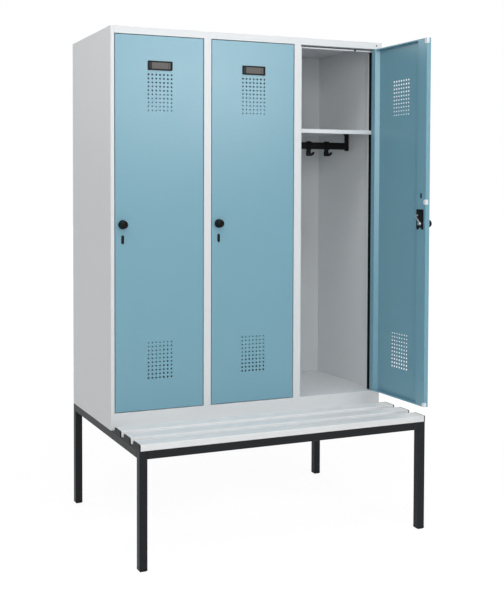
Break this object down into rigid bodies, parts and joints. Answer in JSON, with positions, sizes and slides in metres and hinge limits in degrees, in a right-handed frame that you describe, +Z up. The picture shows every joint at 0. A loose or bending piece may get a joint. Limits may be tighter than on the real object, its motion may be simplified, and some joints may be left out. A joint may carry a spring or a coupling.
{
  "type": "locker with bench",
  "caption": "Sheet steel clothes locker with hinged vented doors, hat shelves and coat rails, on a square tube frame that carries a slatted bench in front.",
  "frame": {"origin": "on the ground, in the middle of the space the part takes up with the right door open as in the picture", "axes": "+X to the right along the front, +Y from the front to the back, +Z up"},
  "size_m": [1.2014, 0.8466, 1.94],
  "materials": {
    "cabinet_grey": "light grey powder coat, fine satin",
    "door_blue": "light blue powder coat, fine satin",
    "frame_anthracite": "anthracite powder coat, fine satin",
    "slat_grey": "light grey, smooth",
    "black_plastic": "black, fine grain",
    "gloss_black": "black, polished",
    "zinc": "zinc plated, bright"
  },
  "bodies": {
    "cabinet": {"side_left": "cabinet_grey", "side_right": "cabinet_grey", "divider_1": "cabinet_grey", "divider_2": "cabinet_grey", "top_panel": "cabinet_grey", "floor_panel": "cabinet_grey", "back_panel": "cabinet_grey", "hat_shelf_1": "cabinet_grey", "coat_rail_1": "black_plastic", "seat_slat_1": "slat_grey", "slat_cap_1_left": "black_plastic", "slat_cap_1_right": "black_plastic", "hat_shelf_2": "cabinet_grey", "coat_rail_2": "black_plastic", "seat_slat_2": "slat_grey", "slat_cap_2_left": "black_plastic", "slat_cap_2_right": "black_plastic", "hat_shelf_3": "cabinet_grey", "coat_rail_3": "black_plastic", "seat_slat_3": "slat_grey", "slat_cap_3_left": "black_plastic", "slat_cap_3_right": "black_plastic", "leg_front_left": "frame_anthracite", "foot_front_left": "black_plastic", "leg_front_right": "frame_anthracite", "foot_front_right": "black_plastic", "leg_back_left": "frame_anthracite", "foot_back_left": "black_plastic", "leg_back_right": "frame_anthracite", "foot_back_right": "black_plastic", "rail_front": "frame_anthracite", "rail_middle": "frame_anthracite", "rail_back": "frame_anthracite", "rail_left": "frame_anthracite", "rail_right": "frame_anthracite"},
    "door_1_leaf": {"door_1": "door_blue", "label_holder_1": "black_plastic", "lock_plate_1": "black_plastic"},
    "lock_1": {"lock_knob_1": "gloss_black", "lock_cam_1": "zinc"},
    "hook_1_1": {"coat_hook_1_1": "black_plastic"},
    "hook_1_2": {"coat_hook_1_2": "black_plastic"},
    "hook_1_3": {"coat_hook_1_3": "black_plastic"},
    "door_2_leaf": {"door_2": "door_blue", "label_holder_2": "black_plastic", "lock_plate_2": "black_plastic"},
    "lock_2": {"lock_knob_2": "gloss_black", "lock_cam_2": "zinc"},
    "hook_2_1": {"coat_hook_2_1": "black_plastic"},
    "hook_2_2": {"coat_hook_2_2": "black_plastic"},
    "hook_2_3": {"coat_hook_2_3": "black_plastic"},
    "door_3_leaf": {"door_3": "door_blue", "label_holder_3": "black_plastic", "lock_plate_3": "black_plastic"},
    "lock_3": {"lock_knob_3": "gloss_black", "lock_cam_3": "zinc"},
    "hook_3_1": {"coat_hook_3_1": "black_plastic"},
    "hook_3_2": {"coat_hook_3_2": "black_plastic"},
    "hook_3_3": {"coat_hook_3_3": "black_plastic"}
  },
  "joints": [
    {"name": "door_1_hinge", "type": "hinge", "parent": "cabinet", "child": "door_1_leaf", "pos_m": [-0.23104, -0.07167, 1.2], "axis": [0, 0, 1], "range_deg": [0, 110]},
    {"name": "lock_1_turn", "type": "hinge", "parent": "door_1_leaf", "child": "lock_1", "pos_m": [-0.55331, -0.07167, 1.1985], "axis": [0, -1, 0], "range_deg": [0, 90]},
    {"name": "hook_1_1_slide", "type": "slide", "parent": "cabinet", "child": "hook_1_1", "axis": [1, 0, 0], "range_m": [-0.024, 0.024]},
    {"name": "hook_1_2_slide", "type": "slide", "parent": "cabinet", "child": "hook_1_2", "axis": [1, 0, 0], "range_m": [-0.024, 0.024]},
    {"name": "hook_1_3_slide", "type": "slide", "parent": "cabinet", "child": "hook_1_3", "axis": [1, 0, 0], "range_m": [-0.024, 0.024]},
    {"name": "door_2_hinge", "type": "hinge", "parent": "cabinet", "child": "door_2_leaf", "pos_m": [0.16562, -0.07167, 1.2], "axis": [0, 0, 1], "range_deg": [0, 110]},
    {"name": "lock_2_turn", "type": "hinge", "parent": "door_2_leaf", "child": "lock_2", "pos_m": [-0.15664, -0.07167, 1.1985], "axis": [0, -1, 0], "range_deg": [0, 90]},
    {"name": "hook_2_1_slide", "type": "slide", "parent": "cabinet", "child": "hook_2_1", "axis": [1, 0, 0], "range_m": [-0.024, 0.024]},
    {"name": "hook_2_2_slide", "type": "slide", "parent": "cabinet", "child": "hook_2_2", "axis": [1, 0, 0], "range_m": [-0.024, 0.024]},
    {"name": "hook_2_3_slide", "type": "slide", "parent": "cabinet", "child": "hook_2_3", "axis": [1, 0, 0], "range_m": [-0.024, 0.024]},
    {"name": "door_3_hinge", "type": "hinge", "parent": "cabinet", "child": "door_3_leaf", "pos_m": [0.56229, -0.07167, 1.2], "axis": [0, 0, 1], "range_deg": [-91, 19]},
    {"name": "lock_3_turn", "type": "hinge", "parent": "door_3_leaf", "child": "lock_3", "pos_m": [0.56791, -0.39388, 1.1985], "axis": [0.9998, 0.0175, 0], "range_deg": [0, 90]},
    {"name": "hook_3_1_slide", "type": "slide", "parent": "cabinet", "child": "hook_3_1", "axis": [1, 0, 0], "range_m": [-0.024, 0.024]},
    {"name": "hook_3_2_slide", "type": "slide", "parent": "cabinet", "child": "hook_3_2", "axis": [1, 0, 0], "range_m": [-0.024, 0.024]},
    {"name": "hook_3_3_slide", "type": "slide", "parent": "cabinet", "child": "hook_3_3", "axis": [1, 0, 0], "range_m": [-0.024, 0.024]}
  ]
}
